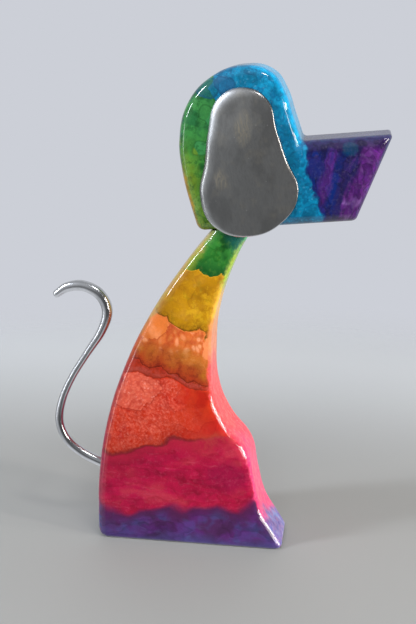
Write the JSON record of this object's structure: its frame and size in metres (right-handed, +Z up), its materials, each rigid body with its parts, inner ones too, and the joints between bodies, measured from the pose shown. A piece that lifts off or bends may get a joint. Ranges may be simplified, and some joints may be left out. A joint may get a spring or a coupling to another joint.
{
  "type": "wooden dog figurine",
  "caption": "Stylised seated dog cut from rounded board, painted in rainbow inks under clear resin, with cast aluminium ears and a curled metal tail.",
  "frame": {"origin": "middle of the flat underside that the figurine stands on", "axes": "+X the way the dog looks, +Y its left side, +Z up"},
  "size_m": [0.2041, 0.0486, 0.2982],
  "materials": {
    "body_paint": "rainbow alcohol inks on wood under a thick clear gloss resin",
    "head_paint": "green, turquoise and violet alcohol inks on wood under a thick clear gloss resin",
    "ear_metal": "cast aluminium, buffed satin face with a bright polished rim",
    "tail_metal": "polished cast aluminium"
  },
  "bodies": {
    "root": {"body": "body_paint", "head": "head_paint", "ear_right": "ear_metal", "ear_left": "ear_metal", "tail": "tail_metal"}
  },
  "joints": []
}
